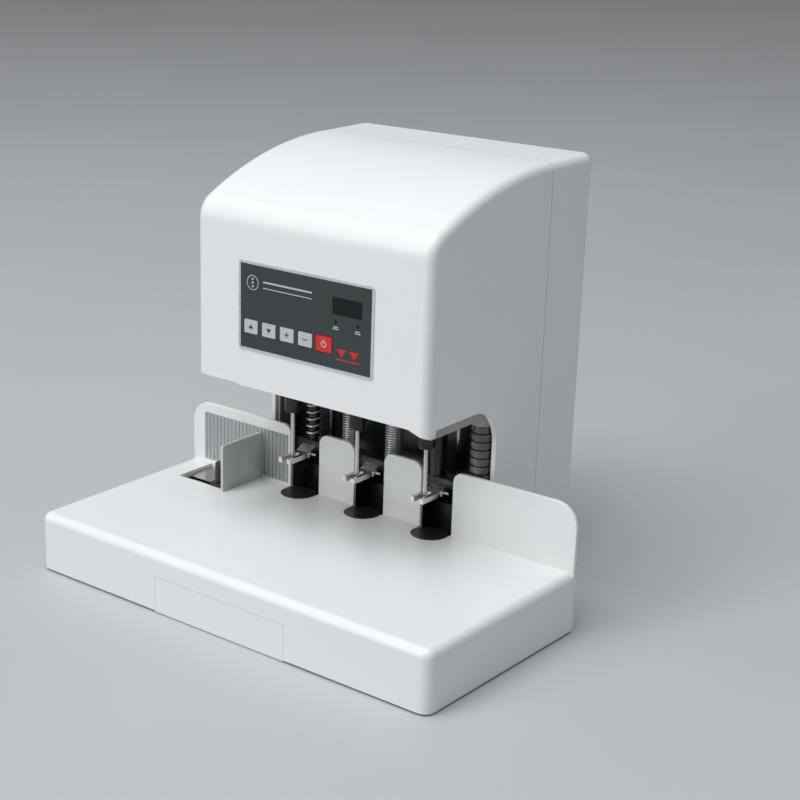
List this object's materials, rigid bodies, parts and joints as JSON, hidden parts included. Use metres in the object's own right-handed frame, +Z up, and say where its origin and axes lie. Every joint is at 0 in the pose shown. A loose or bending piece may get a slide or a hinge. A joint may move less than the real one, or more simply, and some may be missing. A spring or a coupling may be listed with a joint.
{
  "type": "electric hole punch",
  "caption": "Desk machine with a flat table and a tall hood that drills binding holes through a paper stack, with a press bar, side guide, chip drawer and control panel.",
  "frame": {"origin": "On the desk, under the middle of the whole object.", "axes": "+X to the right seen from the front, along the table's long side; +Y from the front to the back; +Z up."},
  "size_m": [0.462, 0.37, 0.402],
  "materials": {
    "white_cover": "smooth off-white moulded cover",
    "zinc_steel": "zinc plated sheet",
    "black_rubber": "matt",
    "black_plastic": "satin black",
    "grey_label": "printed satin label",
    "polished_steel": "ground and polished",
    "frosted_plastic": "frosted",
    "silver_border": "satin",
    "grey_membrane": "fine satin",
    "dark_display": "dark red window",
    "green_board": "solder mask",
    "light_key": "satin",
    "red_key": "satin",
    "grey_steel": "grey paint",
    "black_steel": "black paint",
    "cast_aluminium": "machined",
    "brass": "turned",
    "black_oxide": "black oxide",
    "nickel_steel": "nickel plated",
    "spring_steel": "drawn wire",
    "hose_plastic": "ribbed black",
    "white_collar": "satin"
  },
  "bodies": {
    "base": {"base_cover": "white_cover", "base_plate": "zinc_steel", "rubber_feet": "black_rubber", "anvil_bar": "zinc_steel", "ruler_label": "grey_label", "slide_plate": "polished_steel", "front_hood": "white_cover", "rear_cover": "white_cover", "cover_screws": "polished_steel", "power_inlet": "black_plastic", "panel_frame": "silver_border", "panel_membrane": "grey_membrane", "display_window": "dark_display", "status_lights": "dark_display", "control_board": "green_board", "side_frame_left": "grey_steel", "side_frame_right": "grey_steel", "inner_wall": "black_steel", "wall_strips": "polished_steel", "mid_plate": "grey_steel", "top_plate": "grey_steel", "guide_posts": "polished_steel", "feed_motor": "black_steel", "spring_left": "spring_steel", "return_springs": "spring_steel", "chip_hose": "hose_plastic", "hose_collar": "white_collar"},
    "moving_head": {"head_plate": "cast_aluminium", "feed_nut": "brass", "motor_bracket": "grey_steel", "drill_motor": "black_steel", "drive_belt": "black_rubber"},
    "press": {"press_bar": "black_oxide", "press_rods": "black_oxide", "press_feet": "nickel_steel"},
    "feed_drive": {"feed_screw": "polished_steel"},
    "motor_drive": {"motor_pulley": "cast_aluminium"},
    "left_drill_spindle": {"spindle_left": "polished_steel", "chuck_left": "black_oxide", "drill_left": "polished_steel"},
    "left_pad": {"pad_left": "black_plastic"},
    "middle_drill_spindle": {"spindle_middle": "polished_steel", "chuck_middle": "black_oxide", "drill_middle": "polished_steel"},
    "middle_pad": {"pad_middle": "black_plastic"},
    "right_drill_spindle": {"spindle_right": "polished_steel", "chuck_right": "black_oxide", "drill_right": "polished_steel"},
    "right_pad": {"pad_right": "black_plastic"},
    "side_guide": {"guide_plate": "frosted_plastic", "guide_bracket": "black_plastic"},
    "clamp_screw": {"guide_screw": "black_plastic"},
    "drawer": {"chip_drawer": "white_cover"},
    "button_1": {"key_1": "light_key"},
    "button_2": {"key_2": "light_key"},
    "button_3": {"key_3": "light_key"},
    "button_4": {"key_4": "light_key"},
    "button_5": {"key_5": "red_key"},
    "switch_rocker": {"power_switch": "black_plastic"}
  },
  "joints": [
    {"name": "head_slide", "type": "slide", "parent": "base", "child": "moving_head", "axis": [0, 0, -1], "range_m": [0, 0.0425]},
    {"name": "press_slide", "type": "slide", "parent": "base", "child": "press", "axis": [0, 0, -1], "range_m": [0, 0.0361], "deforming": ["spring_left", "return_springs"]},
    {"name": "feed_turn", "type": "hinge", "parent": "base", "child": "feed_drive", "pos_m": [0, 0.118, 0.25], "axis": [0, 0, 1], "range_deg": [0, 1912.6]},
    {"name": "motor_turn", "type": "hinge", "parent": "moving_head", "child": "motor_drive", "pos_m": [0, 0.075, 0.261], "axis": [0, 0, 1], "continuous": true},
    {"name": "left_spindle_turn", "type": "hinge", "parent": "moving_head", "child": "left_drill_spindle", "pos_m": [-0.08, 0.012, 0.2], "axis": [0, 0, 1], "continuous": true},
    {"name": "middle_spindle_turn", "type": "hinge", "parent": "moving_head", "child": "middle_drill_spindle", "pos_m": [0, 0.012, 0.2], "axis": [0, 0, 1], "continuous": true},
    {"name": "right_spindle_turn", "type": "hinge", "parent": "moving_head", "child": "right_drill_spindle", "pos_m": [0.08, 0.012, 0.2], "axis": [0, 0, 1], "continuous": true},
    {"name": "left_pad_turn", "type": "hinge", "parent": "base", "child": "left_pad", "pos_m": [-0.08, 0.022, 0.053], "axis": [0, 0, 1], "continuous": true},
    {"name": "middle_pad_turn", "type": "hinge", "parent": "base", "child": "middle_pad", "pos_m": [0, 0.022, 0.053], "axis": [0, 0, 1], "continuous": true},
    {"name": "right_pad_turn", "type": "hinge", "parent": "base", "child": "right_pad", "pos_m": [0.08, 0.022, 0.053], "axis": [0, 0, 1], "continuous": true},
    {"name": "guide_slide", "type": "slide", "parent": "base", "child": "side_guide", "axis": [-1, 0, 0], "range_m": [0, 0.041]},
    {"name": "clamp_turn", "type": "hinge", "parent": "side_guide", "child": "clamp_screw", "pos_m": [-0.153, -0.012, 0.06], "axis": [0, 0, 1], "continuous": true},
    {"name": "drawer_slide", "type": "slide", "parent": "base", "child": "drawer", "axis": [0, -1, 0], "range_m": [0, 0.15]},
    {"name": "button_1_press", "type": "slide", "parent": "base", "child": "button_1", "axis": [0, 1, 0], "range_m": [0, 0.0006], "stiffness_N_per_m": 1500, "springref_m": -0.0003},
    {"name": "button_2_press", "type": "slide", "parent": "base", "child": "button_2", "axis": [0, 1, 0], "range_m": [0, 0.0006], "stiffness_N_per_m": 1500, "springref_m": -0.0003},
    {"name": "button_3_press", "type": "slide", "parent": "base", "child": "button_3", "axis": [0, 1, 0], "range_m": [0, 0.0006], "stiffness_N_per_m": 1500, "springref_m": -0.0003},
    {"name": "button_4_press", "type": "slide", "parent": "base", "child": "button_4", "axis": [0, 1, 0], "range_m": [0, 0.0006], "stiffness_N_per_m": 1500, "springref_m": -0.0003},
    {"name": "button_5_press", "type": "slide", "parent": "base", "child": "button_5", "axis": [0, 1, 0], "range_m": [0, 0.0006], "stiffness_N_per_m": 1500, "springref_m": -0.0003},
    {"name": "switch_rock", "type": "hinge", "parent": "base", "child": "switch_rocker", "pos_m": [-0.05, 0.1789, 0.06], "axis": [1, 0, 0], "range_deg": [0, 16]}
  ],
  "couplings": [
    {"joint": "press_slide", "follows": "head_slide", "ratio": 0.84706},
    {"joint": "feed_turn", "follows": "head_slide", "rad_per_m": 785.4},
    {"joint": "left_spindle_turn", "follows": "middle_spindle_turn", "ratio": 1},
    {"joint": "right_spindle_turn", "follows": "middle_spindle_turn", "ratio": 1},
    {"joint": "motor_turn", "follows": "middle_spindle_turn", "ratio": 1.4}
  ]
}
